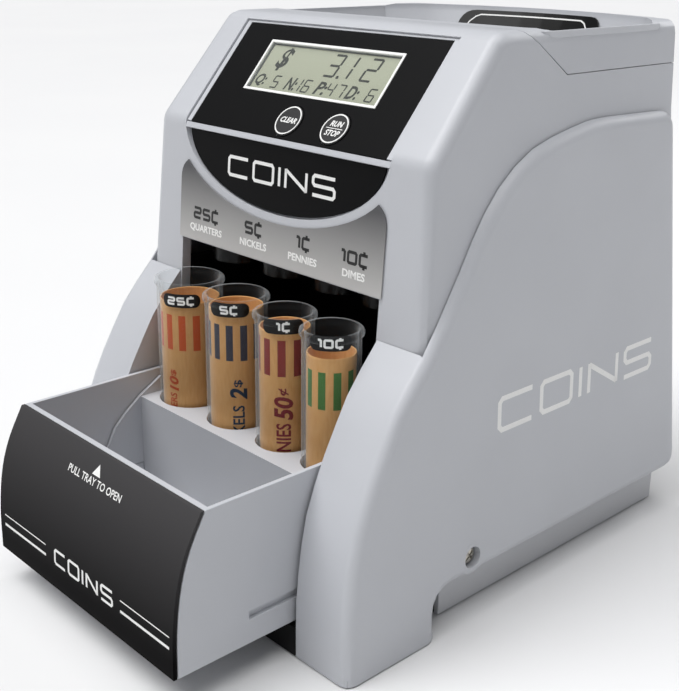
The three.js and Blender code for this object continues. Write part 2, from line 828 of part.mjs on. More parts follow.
function denominationLabel() {
  const points = [];
  for (let i = 0; i <= 32; i += 1) {
    const angle = Math.PI + (i / 32) * Math.PI;
    points.push([64.6 * Math.cos(angle), 33.4 * Math.sin(angle)]);
  }
  const ellipse = prismZ([...points, [64.6, 20], [-64.6, 20]], -5, 5);
  const low = bay.top + 0.3 - knee.z;
  const sheet = prismZ(
    rounded([
      [-60.6, low],
      [60.6, low],
      [60.6, -19.5, 9],
      [52, -14, 3],
      [-52, -14, 3],
      [-60.6, -19.5, 9],
    ]),
    0.3,
    0.7,
  );
  return onFront(cut(sheet, ellipse));
}

// ---- drive and boards ----
function motorBracket() {
  const plate = block(-32, 32, disc.y - 20, disc.y + 20, 159, 161.8);
  return cut(plate, drum(disc.x, disc.y, 150, 170, 6, 24));
}

function gearMotor() {
  const gearbox = block(-17, 17, disc.y - 17, disc.y + 17, 134, 157.8);
  const can = drum(disc.x, disc.y, 92, 134.1, 13.5, 28);
  return union(gearbox, can);
}

function inletJack() {
  const z = dcInlet.z;
  const y = rearY(dcInlet.x, z);
  const body = block(dcInlet.x - 6, dcInlet.x + 6, y - 17, y - 6, z - 6, z + 6);
  const collar = solid(new THREE.CylinderGeometry(5, 5, 7.4, 24).translate(dcInlet.x, y - 3, z));
  const bore = solid(new THREE.CylinderGeometry(3.2, 3.2, 14, 20).translate(dcInlet.x, y - 5, z));
  return cut(union(body, collar), bore);
}

// An oblong sticker plate that follows the bowed rear wall inside the hopper mouth.
function hopperPlate() {
  const outline = rounded([
    [-43, 197, 7],
    [35, 197, 7],
    [35, 214.6, 7],
    [-43, 214.6, 7],
  ]);
  const oblong = geometryOf(prismZ(outline, 0, 80)).rotateX(Math.PI / 2).translate(0, 150, 0);
  return cut(hopperPlug(-clearance), hopperPlug(-1)).intersect(solid(oblong));
}

// ---- assembly ----
const rightPod = pod();
addPart("right_pod", geometryOf(rightPod), colours.housing);
addPart("left_pod", geometryOf(mirrored(rightPod)), colours.housing);
addPart("front_housing", geometryOf(frontHousing()), colours.housing);
addPart("back_cover", geometryOf(backCover()), colours.housing);
addPart("hopper_shell", geometryOf(hopperShell()), colours.hopper);
addPart("hopper_floor", geometryOf(hopperFloor()), colours.hopper);
addPart("base_pan", geometryOf(basePan()), colours.black, 0.6);
addPart("base_plate", geometryOf(basePlate()), colours.black, 0.6);
addPart("right_skirt", geometryOf(skirt()), colours.skirt);
addPart("left_skirt", geometryOf(mirrored(skirt())), colours.skirt);
addPart("foot_front_left", foot(-76, -53), colours.rubber, 0.9);
addPart("foot_front_right", foot(76, -53), colours.rubber, 0.9);
addPart("foot_rear_left", foot(-64, 112), colours.rubber, 0.9);
addPart("foot_rear_right", foot(64, 112), colours.rubber, 0.9);
addPart("bay_liner", geometryOf(bayLiner()), colours.black, 0.7);
addPart("chute_block", geometryOf(chuteBlock()), colours.black, 0.4);
addPart("coin_rail", geometryOf(coinRail()), colours.dark, 0.5);

addPart("console_overlay", geometryOf(consoleOverlay()), colours.dark, 0.35);
addPart("lower_overlay", geometryOf(lowerOverlay()), colours.dark, 0.35);
addPart("denomination_label", geometryOf(denominationLabel()), colours.label, 0.4);
addPart("lcd_bezel", geometryOf(lcdBezel()), colours.white, 0.4);
addPart("lcd_window", geometryOf(lcdWindow()), colours.clear, 0.1);
addPart("lcd_module", geometryOf(lcdModule()), colours.screen, 0.5);
addPart("clear_button", geometryOf(buttonCap(buttons.clear)), colours.dark, 0.4);
addPart("run_button", geometryOf(buttonCap(buttons.run)), colours.dark, 0.4);
addPart("clear_pad", geometryOf(buttonPad(buttons.clear)), colours.rubber, 0.9);
addPart("run_pad", geometryOf(buttonPad(buttons.run)), colours.rubber, 0.9);
addPart("console_board", geometryOf(consoleBoard()), colours.board, 0.6);

addPart("coin_tray", geometryOf(coinTray()), colours.tray);
addPart("tray_front", geometryOf(trayFront()), colours.dark, 0.35);
addPart("tube_rack", geometryOf(tubeRack()), colours.tray);
addPart("tray_rail_right", geometryOf(trayRail()), colours.black, 0.5);
addPart("tray_rail_left", geometryOf(mirrored(trayRail())), colours.black, 0.5);

tubes.forEach((item) => {
  const clearTube = addPart(`${item.name}_tube`, tube(item), colours.clear, 0.08);
  clearTube.position.set(item.x, tubeRow, 0);
  const paper = addPart(`${item.name}_wrapper`, wrapper(item), colours.kraft, 0.85);
  paper.position.set(item.x, tubeRow, 0);
});

addPart("coin_plate", geometryOf(coinPlate()), colours.dark, 0.5);
addPart("coin_disc", geometryOf(coinDisc()), colours.black, 0.5);
addPart("motor_bracket", geometryOf(motorBracket()), colours.metal, 0.35, 0.9);
addPart("gear_motor", geometryOf(gearMotor()), colours.metal, 0.35, 0.9);
addPart("main_board", geometryOf(block(-50, 50, 96, 97.6, 34, 88)), colours.board, 0.6);
addPart("sensor_board", geometryOf(block(-45, 45, 36, 37.6, 139, 147.9)), colours.board, 0.6);
addPart("dc_inlet", geometryOf(inletJack()), colours.black, 0.5);

[-1, 1].forEach((side) => {
  const head = screw(3.6, 1.8, 4.4);
  head.rotateY((side * Math.PI) / 2).translate(side * 86.8, -10.1, 26.8);
  addPart(side < 0 ? "side_screw_left" : "side_screw_right", head, colours.metal, 0.3, 0.9);
});

coverScrewPlaces.forEach(([x, z], i) => {
  const head = screw(2.7, 1.5, 6);
  head.rotateX(-Math.PI / 2).translate(x, rearY(x, z) - 0.2, z);
  addPart(`cover_screw_${i + 1}`, head, colours.metal, 0.3, 0.9);
});

addPart("hopper_plate", geometryOf(hopperPlate()), colours.black, 0.35);

machine.position.y = -depthCentre;

export default machine;
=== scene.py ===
# Coin sorting machine: the looks of every visible piece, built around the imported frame.
# Metres, +Z up, the tray opens towards -Y.
import json
import math

import bpy
from mathutils import Matrix, Vector


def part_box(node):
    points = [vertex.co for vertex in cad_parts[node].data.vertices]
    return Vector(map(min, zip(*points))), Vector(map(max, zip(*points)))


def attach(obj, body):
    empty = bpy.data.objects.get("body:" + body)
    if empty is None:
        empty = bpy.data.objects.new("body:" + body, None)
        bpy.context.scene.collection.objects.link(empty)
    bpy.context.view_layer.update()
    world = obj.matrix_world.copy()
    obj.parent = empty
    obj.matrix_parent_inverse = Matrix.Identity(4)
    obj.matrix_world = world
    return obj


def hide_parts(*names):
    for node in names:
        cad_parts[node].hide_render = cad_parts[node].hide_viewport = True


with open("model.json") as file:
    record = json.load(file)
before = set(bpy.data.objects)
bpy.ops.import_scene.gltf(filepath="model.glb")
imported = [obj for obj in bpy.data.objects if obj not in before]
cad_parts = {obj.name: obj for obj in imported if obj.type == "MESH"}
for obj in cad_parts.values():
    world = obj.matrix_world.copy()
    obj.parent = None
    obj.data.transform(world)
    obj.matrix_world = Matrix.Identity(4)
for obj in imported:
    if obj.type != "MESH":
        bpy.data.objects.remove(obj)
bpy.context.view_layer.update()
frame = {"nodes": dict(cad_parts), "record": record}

MM = 0.001

# Depths below (-) or above (+) the housing's outer face, in mm.
OVERLAY_FACE = -0.9
OVERLAY_BACK = -1.7
RECESS_FLOOR = -1.72
GLASS_FACE = -2.3
KEY_FACE = -0.29
LABEL_FACE = 0.7
# The overlay's lower edge hangs this far below the knee, where the console meets the front wall.
OVERLAY_LIP = 0.3
# How far up the slope from the knee the keys and the display's two rows stand, in mm.
KEY_ROW = 7.6
COUNT_ROW = 24.5
SUM_ROW = 35.1

PRINT_DEPTH = 0.06
KEY_PRINT_DEPTH = 0.04
SEGMENT_DEPTH = 0.1
# Corners nearer than this are one corner.
MERGE = 0.001 * MM
# Edges that turn more than this are kept sharp, or rounded over.
CORNER = math.radians(35)
# Surfaces of revolution and bowed floors are shaded smooth over wider turns.
ROUND_CORNER = math.radians(50)


# ---- colour and nodes ----
def linear(code):
    """An sRGB hex colour as linear RGBA."""
    channels = [int(code[i : i + 2], 16) / 255 for i in (1, 3, 5)]
    bent = [c / 12.92 if c <= 0.04045 else ((c + 0.055) / 1.055) ** 2.4 for c in channels]
    return (*bent, 1.0)


def add_node(tree, kind, inputs=(), **settings):
    """Adds a node, sets its own settings, and sets or links its inputs."""
    node = tree.nodes.new(kind)
    for key, value in settings.items():
        setattr(node, key, value)
    for key, value in dict(inputs).items():
        if isinstance(value, bpy.types.NodeSocket):
            tree.links.new(value, node.inputs[key])
        else:
            node.inputs[key].default_value = value
    return node


def new_material(name, roughness=0.5, metallic=0.0, ior=1.5):
    material = bpy.data.materials.new(name)
    material.use_nodes = True
    tree = material.node_tree
    shader = tree.nodes["Principled BSDF"]
    shader.inputs["Roughness"].default_value = roughness
    shader.inputs["Metallic"].default_value = metallic
    shader.inputs["IOR"].default_value = ior
    return material, tree, shader


def object_noise(tree, size_mm, detail=2.0, stretch=(1.0, 1.0, 1.0)):
    """Noise on the object's own coordinates whose features are about size_mm across."""
    coords = add_node(tree, "ShaderNodeTexCoord")
    placed = add_node(
        tree, "ShaderNodeMapping", {"Vector": coords.outputs["Object"], "Scale": stretch}
    )
    return add_node(
        tree,
        "ShaderNodeTexNoise",
        {"Vector": placed.outputs["Vector"], "Scale": 1 / (size_mm * MM), "Detail": detail},
    )


def between(tree, factor, low, high):
    """A colour between two sRGB colours."""
    ramp = add_node(tree, "ShaderNodeValToRGB", {"Fac": factor})
    ramp.color_ramp.elements[0].color = linear(low)
    ramp.color_ramp.elements[1].color = linear(high)
    return ramp


def add_grain(tree, shader, size_mm, depth_mm, roughness, spread):
    """A fine moulded grain: bump, and a roughness that wanders by spread around its middle."""
    fine = object_noise(tree, size_mm, detail=3.0)
    bump = add_node(
        tree,
        "ShaderNodeBump",
        {"Height": fine.outputs["Fac"], "Strength": 0.6, "Distance": depth_mm * MM},
    )
    tree.links.new(bump.outputs["Normal"], shader.inputs["Normal"])
    broad = object_noise(tree, size_mm * 30, detail=4.0)
    varied = add_node(
        tree,
        "ShaderNodeMapRange",
        {"Value": broad.outputs["Fac"], "To Min": roughness - spread, "To Max": roughness + spread},
    )
    tree.links.new(varied.outputs["Result"], shader.inputs["Roughness"])


def moulded_plastic(
    name, low, high, roughness, grain_mm=0.6, depth_mm=0.02, spread=0.05, sheen=0.5
):
    """Injection-moulded plastic: a fine even grain and a very slight cloudiness in its colour."""
    material, tree, shader = new_material(name)
    shader.inputs["Specular IOR Level"].default_value = sheen
    add_grain(tree, shader, grain_mm, depth_mm, roughness, spread)
    clouds = object_noise(tree, 45, detail=2.0)
    tone = between(tree, clouds.outputs["Fac"], low, high)
    tree.links.new(tone.outputs["Color"], shader.inputs["Base Color"])
    return material


def height_share(tree, low, high, axis="Z"):
    """0 at the low end and 1 at the high end of a stretch along one axis, in metres."""
    coords = add_node(tree, "ShaderNodeTexCoord")
    parts = add_node(tree, "ShaderNodeSeparateXYZ", {"Vector": coords.outputs["Object"]})
    return add_node(
        tree,
        "ShaderNodeMapRange",
        {"Value": parts.outputs[axis], "From Min": low, "From Max": high},
    ).outputs["Result"]


def printed_film(name, low, high, bottom, top, roughness, sheen):
    """Printed film whose colour fades between two heights in metres, under a thin gloss; on the tray
    front that fade is painted reflection.
    """
    material, tree, shader = new_material(name, ior=1.58)
    add_grain(tree, shader, 1.4, 0.012, roughness, 0.03)
    fade = between(tree, height_share(tree, bottom, top), low, high)
    tree.links.new(fade.outputs["Color"], shader.inputs["Base Color"])
    shader.inputs["Specular IOR Level"].default_value = sheen
    return material


def clear_styrene(name, tint, painted_edge_reflection):
    """Clear moulded styrene: see-through face on, and glossy and pale where it is seen edge on, the
    paleness a painted reflection.
    """
    material, tree, shader = new_material(name, roughness=0.06)
    ripple = object_noise(tree, 9, detail=1.0)
    # The pale colour shows only where the styrene is seen edge on: painted reflection.
    tone = between(tree, ripple.outputs["Fac"], "#d3d7da", "#e4e8ea")
    tree.links.new(tone.outputs["Color"], shader.inputs["Base Color"])
    bump = add_node(
        tree,
        "ShaderNodeBump",
        {"Height": ripple.outputs["Fac"], "Strength": 0.3, "Distance": 0.05 * MM},
    )
    tree.links.new(bump.outputs["Normal"], shader.inputs["Normal"])
    facing = add_node(tree, "ShaderNodeLayerWeight", {"Blend": 0.5})
    edge_on = add_node(
        tree, "ShaderNodeMath", {0: facing.outputs["Facing"], 1: 3.6}, operation="POWER"
    )
    surface = add_node(
        tree,
        "ShaderNodeMath",
        {0: edge_on.outputs[0], 1: painted_edge_reflection, 2: 0.012},
        operation="MULTIPLY_ADD",
    )
    through = add_node(tree, "ShaderNodeBsdfTransparent", {"Color": linear(tint)})
    mixed = add_node(
        tree,
        "ShaderNodeMixShader",
        {0: surface.outputs[0], 1: through.outputs["BSDF"], 2: shader.outputs["BSDF"]},
    )
    output = tree.nodes["Material Output"]
    tree.links.new(mixed.outputs["Shader"], output.inputs["Surface"])
    return material


def ink(name, code):
    """Screen-printing ink: dense, slightly uneven, with a soft sheen."""
    material, tree, shader = new_material(name, roughness=0.45)
    spots = object_noise(tree, 0.8, detail=2.0)
    dimmer = "#" + "".join(f"{int(int(code[i : i + 2], 16) * 0.95):02x}" for i in (1, 3, 5))
    tone = between(tree, spots.outputs["Fac"], dimmer, code)
    tree.links.new(tone.outputs["Color"], shader.inputs["Base Color"])
    return material


def brushed_metal(name, low, high, roughness, stretch=(1.0, 1.0, 12.0)):
    """Machined or plated metal with fine directional marks."""
    material, tree, shader = new_material(name, roughness=roughness, metallic=1.0, ior=1.5)
    marks = object_noise(tree, 1.2, detail=4.0, stretch=stretch)
    tone = between(tree, marks.outputs["Fac"], low, high)
    tree.links.new(tone.outputs["Color"], shader.inputs["Base Color"])
    bump = add_node(
        tree,
        "ShaderNodeBump",
        {"Height": marks.outputs["Fac"], "Strength": 0.3, "Distance": 0.02 * MM},
    )
    tree.links.new(bump.outputs["Normal"], shader.inputs["Normal"])
    return material


def kraft_paper(name, centre, radius, bars, bar_code, bar_low, bar_high, phase):
    """Brown kraft paper with upright fibres, its outside printed with a ring of colour bars.

    There are as many bars as gaps, each half a turn of the pattern wide, and phase turns them.
    """
    material, tree, shader = new_material(name, roughness=0.82)
    fibres = object_noise(tree, 0.9, detail=5.0, stretch=(1.0, 1.0, 0.18))
    paper = between(tree, fibres.outputs["Fac"], "#dc9c55", "#f4c184")
    coords = add_node(tree, "ShaderNodeTexCoord")
    centred = add_node(
        tree,
        "ShaderNodeMapping",
        {"Vector": coords.outputs["Object"], "Location": (-centre.x, -centre.y, 0)},
    )
    parts = add_node(tree, "ShaderNodeSeparateXYZ", {"Vector": centred.outputs["Vector"]})
    angle = add_node(
        tree, "ShaderNodeMath", {0: parts.outputs["Y"], 1: parts.outputs["X"]}, operation="ARCTAN2"
    )
    turns = add_node(
        tree,
        "ShaderNodeMath",
        {0: angle.outputs[0], 1: bars / math.tau, 2: phase},
        operation="MULTIPLY_ADD",
    )
    share = add_node(tree, "ShaderNodeMath", {0: turns.outputs[0]}, operation="FRACT")
    level = add_node(
        tree,
        "ShaderNodeVectorMath",
        {0: centred.outputs["Vector"], 1: (1, 1, 0)},
        operation="MULTIPLY",
    )
    reach = add_node(
        tree, "ShaderNodeVectorMath", {0: level.outputs["Vector"]}, operation="LENGTH"
    )
    # The ink covers where every one of these holds, and lets a little of the paper through.
    cover = 0.94
    for operation, value, limit in (
        ("LESS_THAN", share.outputs[0], 0.5),
        ("GREATER_THAN", parts.outputs["Z"], bar_low),
        ("LESS_THAN", parts.outputs["Z"], bar_high),
        ("GREATER_THAN", reach.outputs["Value"], radius - 0.2 * MM),
    ):
        holds = add_node(tree, "ShaderNodeMath", {0: value, 1: limit}, operation=operation)
        product = add_node(
            tree, "ShaderNodeMath", {0: holds.outputs[0], 1: cover}, operation="MULTIPLY"
        )
        cover = product.outputs[0]
    mixed = add_node(
        tree,
        "ShaderNodeMix",
        {"Factor": cover, "A": paper.outputs["Color"], "B": linear(bar_code)},
        data_type="RGBA",
    )
    tree.links.new(mixed.outputs["Result"], shader.inputs["Base Color"])
    bump = add_node(
        tree,
        "ShaderNodeBump",
        {"Height": fibres.outputs["Fac"], "Strength": 0.5, "Distance": 0.08 * MM},
    )
    tree.links.new(bump.outputs["Normal"], shader.inputs["Normal"])
    return material


# ---- modelling helpers ----
def deselect():
    if bpy.context.object and bpy.context.object.mode != "OBJECT":
        bpy.ops.object.mode_set(mode="OBJECT")
    bpy.ops.object.select_all(action="DESELECT")


def take(piece):
    """Makes a piece the only one selected, and active."""
    deselect()
    piece.select_set(True)
    bpy.context.view_layer.objects.active = piece


def settle(piece):
    """Moves a piece's place, turn and size into its mesh."""
    take(piece)
    bpy.ops.object.transform_apply(location=True, rotation=True, scale=True)


def smooth(piece, corner=CORNER):
    """Smooth shading that stays flat on flat faces and sharp at corners."""
    take(piece)
    bpy.ops.object.shade_smooth_by_angle(angle=corner)
    weighted = piece.modifiers.new("face weights", "WEIGHTED_NORMAL")
    weighted.keep_sharp = True
    bpy.ops.object.modifier_apply(modifier=weighted.name)


def bevelled(piece, width_mm, segments=3):
    """Rounds a piece's corners over."""
    take(piece)
    edge = piece.modifiers.new("edges", "BEVEL")
    edge.width = width_mm * MM
    edge.segments = segments
    edge.limit_method = "ANGLE"
    edge.angle_limit = CORNER
    bpy.ops.object.modifier_apply(modifier=edge.name)


def complete(piece, name, material, body, nodes=()):
    """Names a finished piece, gives it its finish, and sets it on the body it moves with."""
    piece.name = name
    piece.data.name = name
    piece.data.materials.clear()
    piece.data.materials.append(material)
    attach(piece, body)
    if nodes:
        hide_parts(*nodes)
    return piece


def body_with(node):
    bodies = frame["record"]["behaviour"]["bodies"]
    return next(body for body, nodes in bodies.items() if node in nodes)


def moulding(node, material, edge_mm=0.0, corner=CORNER):
    """A moulded part: the frame's solid with joined facets, rounded edges and smooth curves."""
    piece = bpy.data.objects.new(node + "_moulding", frame["nodes"][node].data.copy())
    bpy.context.scene.collection.objects.link(piece)
    take(piece)
    bpy.ops.object.mode_set(mode="EDIT")
    bpy.ops.mesh.select_all(action="SELECT")
    bpy.ops.mesh.remove_doubles(threshold=MERGE)
    bpy.ops.mesh.dissolve_limited(angle_limit=math.radians(0.5))
    bpy.ops.object.mode_set(mode="OBJECT")
    if edge_mm:
        bevelled(piece, edge_mm)
    smooth(piece, corner)
    return complete(piece, node + "_moulding", material, body_with(node), [node])


def turned(profile, centre, steps=64):
    """A round piece spun from a closed profile of (radius, height) in mm about an upright axis."""
    mesh = bpy.data.meshes.new("profile")
    points = [(r * MM, 0, z * MM) for r, z in profile]
    count = len(points)
    edges = [(i, (i + 1) % count) for i in range(count)]
    mesh.from_pydata(points, edges, [])
    piece = bpy.data.objects.new("turned", mesh)
    bpy.context.scene.collection.objects.link(piece)
    take(piece)
    bpy.ops.object.mode_set(mode="EDIT")
    bpy.ops.mesh.select_all(action="SELECT")
    bpy.ops.mesh.spin(steps=steps, angle=math.tau, center=(0, 0, 0), axis=(0, 0, 1))
    bpy.ops.mesh.select_all(action="SELECT")
    bpy.ops.mesh.remove_doubles(threshold=4 * MERGE)
    bpy.ops.mesh.delete_loose(use_verts=True, use_edges=True, use_faces=False)
    bpy.ops.mesh.select_all(action="SELECT")
    bpy.ops.mesh.normals_make_consistent(inside=False)
    bpy.ops.object.mode_set(mode="OBJECT")
    piece.data.transform(Matrix.Translation(centre))
    return piece


def mapped(piece, place):
    """Moves every corner of a flat-made piece to where place(x, y, out) puts it, all in mm."""
    for vertex in piece.data.vertices:
        vertex.co = Vector(place(*(vertex.co / MM))) * MM
    piece.data.update()


def lettering(words, size, stretch=1.0, slant=0.0, weight=0.0, turn=0.0):
    """Raised print from text, flat around its own middle; size and extra weight in mm."""
    deselect()
    bpy.ops.object.text_add()
    text = bpy.context.object
    text.data.body = words
    text.data.align_x = "CENTER"
    text.data.align_y = "CENTER"
    text.data.size = size * MM
    text.data.shear = slant
    text.data.offset = weight * MM
    text.data.extrude = PRINT_DEPTH / 2 * MM
    text.data.resolution_u = 3
    bpy.ops.object.convert(target="MESH")
    piece = bpy.context.object
    piece.data.transform(Matrix.Rotation(turn, 4, "Z") @ Matrix.Diagonal((stretch, 1, 1, 1)))
    take(piece)
    bpy.ops.object.mode_set(mode="EDIT")
    bpy.ops.mesh.select_all(action="SELECT")
    bpy.ops.mesh.remove_doubles(threshold=MERGE)
    bpy.ops.object.mode_set(mode="OBJECT")
    return piece


def fitted(piece, width, height):
    """Sets a flat piece's middle at the origin and stretches it to a width and height in mm."""
    corners = [vertex.co for vertex in piece.data.vertices]
    low = Vector((min(c.x for c in corners), min(c.y for c in corners), 0))
    high = Vector((max(c.x for c in corners), max(c.y for c in corners), 0))
    spread = high - low
    piece.data.transform(Matrix.Translation(-(low + high) / 2))
    piece.data.transform(Matrix.Diagonal((width * MM / spread.x, height * MM / spread.y, 1, 1)))
    return piece


def eased(line, cut):
    """A line of points with every corner cut off slantwise."""
    closed = line[0] == line[-1]
    points = [Vector(p) for p in (line[:-1] if closed else line)]
    soft = []
    for i, point in enumerate(points):
        if not closed and i in (0, len(points) - 1):
            soft.append(point)
            continue
        for other in (points[i - 1], points[(i + 1) % len(points)]):
            soft.append(point + (other - point).normalized() * cut)
    return soft + [soft[0]] if closed else soft


def stroked(lines, weight):
    """Raised strokes of an even weight along flat lines of points, in mm."""
    corners, faces = [], []
    for line in lines:
        closed = line[0] == line[-1]
        points = line[:-1] if closed else line
        count, base = len(points), len(corners)
        for i, point in enumerate(points):
            sides = []
            if closed or i > 0:
                sides.append((point - points[i - 1]).normalized())
            if closed or i < count - 1:
                sides.append((points[(i + 1) % count] - point).normalized())
            across = sum((Vector((-way.y, way.x)) for way in sides), Vector((0, 0))).normalized()
            reach = weight / 2 / across.dot(Vector((-sides[0].y, sides[0].x)))
            corners += [(*((point + across * reach * side) * MM), 0) for side in (1, -1)]
        for i in range(count if closed else count - 1):
            a, b = base + 2 * i, base + 2 * ((i + 1) % count)
            faces.append((a, a + 1, b + 1, b))
    mesh = bpy.data.meshes.new("strokes")
    mesh.from_pydata(corners, [], faces)
    piece = bpy.data.objects.new("strokes", mesh)
    bpy.context.scene.collection.objects.link(piece)
    take(piece)
    bpy.ops.object.mode_set(mode="EDIT")
    bpy.ops.mesh.select_all(action="SELECT")
    bpy.ops.mesh.extrude_region_move(TRANSFORM_OT_translate={"value": (0, 0, PRINT_DEPTH * MM)})
    bpy.ops.mesh.select_all(action="SELECT")
    bpy.ops.mesh.normals_make_consistent(inside=False)
    bpy.ops.object.mode_set(mode="OBJECT")
    return piece


# Squared lettering: each character's strokes on a field one wide and one tall.
STROKES = {
    "C": [[(1, 1), (0, 1), (0, 0), (1, 0)]],
    "O": [[(0, 0), (0, 1), (1, 1), (1, 0), (0, 0)]],
    "0": [[(0, 0), (0, 1), (1, 1), (1, 0), (0, 0)]],
    "I": [[(0, 1), (0, 0)]],
    "N": [[(0, 0), (0, 1)], [(0, 0.96), (1, 0.04)], [(1, 0), (1, 1)]],
    "S": [[(1, 1), (0, 1), (0, 0.5), (1, 0.5), (1, 0), (0, 0)]],
    "5": [[(1, 1), (0, 1), (0, 0.5), (1, 0.5), (1, 0), (0, 0)]],
    "2": [[(0, 1), (1, 1), (1, 0.5), (0, 0.5), (0, 0), (1, 0)]],
    "1": [[(0, 1), (1, 1), (1, 0)]],
    "¢": [
        [(1, 1), (0, 1), (0, 0), (1, 0)],
        [(0.55, 1.32), (0.55, 1)],
        [(0.55, 0), (0.55, -0.32)],
    ],
}
# The narrower characters' widths, as shares of the rest's.
STROKE_WIDTHS = {"I": 0.0, "1": 0.4, "¢": 0.9}


def squared(words, width, height, weight, gap):
    """Raised squared lettering around its own middle, from one character's sizes in mm."""
    lines, x = [], 0
    for character in words:
        wide = (width - weight) * STROKE_WIDTHS.get(character, 1)
        tall = height - weight
        for line in STROKES[character]:
            placed = [(x + u * wide, (v - 0.5) * tall) for u, v in line]
            lines.append(eased(placed, tall * 0.12))
        x += wide + weight + gap
    middle = Vector(((x - gap - weight) / 2, 0))
    lines = [[point - middle for point in line] for line in lines]
    return stroked(lines, weight)


def plate(width, height, thickness, corner=0.0):
    """A flat plate in mm around its own middle, with rounded corners, its back face at zero."""
    deselect()
    bpy.ops.mesh.primitive_cube_add(size=1)
    piece = bpy.context.object
    piece.dimensions = (width * MM, height * MM, thickness * MM)
    piece.location = (0, 0, thickness / 2 * MM)
    settle(piece)
    if corner:
        bpy.ops.object.mode_set(mode="EDIT")
        bpy.ops.mesh.select_mode(type="EDGE")
        bpy.ops.mesh.select_all(action="DESELECT")
        bpy.ops.object.mode_set(mode="OBJECT")
        for edge in piece.data.edges:
            a, b = (piece.data.vertices[i].co for i in edge.vertices)
            edge.select = (a - b).xy.length < MERGE
        bpy.ops.object.mode_set(mode="EDIT")
        bpy.ops.mesh.bevel(offset=corner * MM, segments=6)
        bpy.ops.mesh.select_mode(type="VERT")
        bpy.ops.object.mode_set(mode="OBJECT")
    return piece


def sliced(piece, reach, step, way=(1, 0, 0)):
    """Cuts a flat piece at every step along a way, up to a reach in mm, to follow a curve."""
    take(piece)
    bpy.ops.object.mode_set(mode="EDIT")
    for i in range(int(-reach / step), int(reach / step) + 1):
        bpy.ops.mesh.select_all(action="SELECT")
        bpy.ops.mesh.bisect(plane_co=[i * step * MM * part for part in way], plane_no=way)
    bpy.ops.object.mode_set(mode="OBJECT")
    return piece


def joined(pieces):
    """Makes several pieces one."""
    take(pieces[0])
    for piece in pieces[1:]:
        piece.select_set(True)
    if len(pieces) > 1:
        bpy.ops.object.join()
    return bpy.context.object


def ring(outer, inner, thickness):
    """A flat printed ring in mm."""
    return turned([(inner, 0), (outer, 0), (outer, thickness), (inner, thickness)], (0, 0, 0), 48)


# ---- where the console, the front wall, the side and the tray face lie, in mm ----
CONSOLE_RISE = 41.8
CONSOLE_RUN = 36.1
# How far the front wall and the sides lean in for each mm of height.
FRONT_TAPER = 0.074
SIDE_TAPER = 0.036
SLOPE = math.atan2(CONSOLE_RISE, CONSOLE_RUN)
FRONT_LEAN = math.pi / 2 - math.atan(FRONT_TAPER)
overlay_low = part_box("console_overlay")[0] / MM
KNEE_Y = overlay_low.y + OVERLAY_LIP * math.cos(SLOPE) + OVERLAY_FACE * math.sin(SLOPE)
KNEE_Z = overlay_low.z + OVERLAY_LIP * math.sin(SLOPE) - OVERLAY_BACK * math.cos(SLOPE)


def on_plane(angle, x0, s0, out0):
    """Places (x, y, out) on a plane through the knee that leans by an angle from level."""

    def place(x, y, out):
        s, o = y + s0, out + out0
        return (
            x + x0,
            KNEE_Y + s * math.cos(angle) - o * math.sin(angle),
            KNEE_Z + s * math.sin(angle) + o * math.cos(angle),
        )

    return place


def on_console(x0, s0, out0):
    """Lays (x, y, out) on the sloping console."""
    return on_plane(SLOPE, x0, s0, out0)


def on_front(x0, s0, out0):
    """Lays (x, y, out) on the front wall."""
    return on_plane(FRONT_LEAN, x0, s0, out0)


def on_side(y0, z0):
    """Lays (x, y, out) on the right side, which leans in."""
    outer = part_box("right_pod")[1].x / MM

    def place(x, y, out):
        z = z0 + y
        return (outer - SIDE_TAPER * z + out, y0 + x, z)

    return place


def tray_face_line():
    """The tray front's outer curve as (height, y) pairs from the bottom up, in mm."""
    lowest = {}
    for vertex in frame["nodes"]["tray_front"].data.vertices:
        z, y = round(vertex.co.z / MM, 2), vertex.co.y / MM
        lowest[z] = min(y, lowest.get(z, y))
    return sorted(lowest.items())


FACE_LINE = [p for i, p in enumerate(tray_face_line()) if i == 0 or p[1] <= -100]


def on_tray_face(x0, z0):
    """Lays (x, y, out) on the tray front, where leaning back makes print a little less tall."""
    squash, lift = 0.97, 0.06

    def face_y(z):
        for (z1, y1), (z2, y2) in zip(FACE_LINE, FACE_LINE[1:]):
            if z1 <= z <= z2:
                return y1 + (y2 - y1) * (z - z1) / (z2 - z1)
        return FACE_LINE[-1][1]

    def place(x, y, out):
        z = z0 + y * squash
        return (x + x0, face_y(z) - lift - out, z)

    return place


def on_label(label, x0, z0):
    """Lays (x, y, out) on the front of the bowed label inside the hopper mouth."""
    forwards, lift = Vector((0, 1, 0)), 0.05

    def place(x, y, out):
        start = Vector(((x + x0) * MM, 0.05, (y + z0) * MM))
        face = label.ray_cast(start, forwards)[1]
        return (x + x0, face.y / MM - lift - out, y + z0)

    return place


def on_tube(centre_x, centre_y, radius, degrees, z0):
    """Wraps (x, y, out) round an upright tube, facing a direction in degrees from the front."""
    facing = math.radians(degrees)

    def place(x, y, out):
        angle = facing + x / radius
        reach = radius + out
        return (centre_x + reach * math.sin(angle), centre_y - reach * math.cos(angle), z0 + y)

    return place


# ---- camera, lights and floor ----
CAMERA_PLACE = (0.32799, -0.31186, 0.24825)
# Degrees round from the front to the right, up from level, and of tilt.
CAMERA_TURNS = (46.752, 18.206, 0.666)
LENS_MM = 58.859
LENS_SHIFT = -0.0492


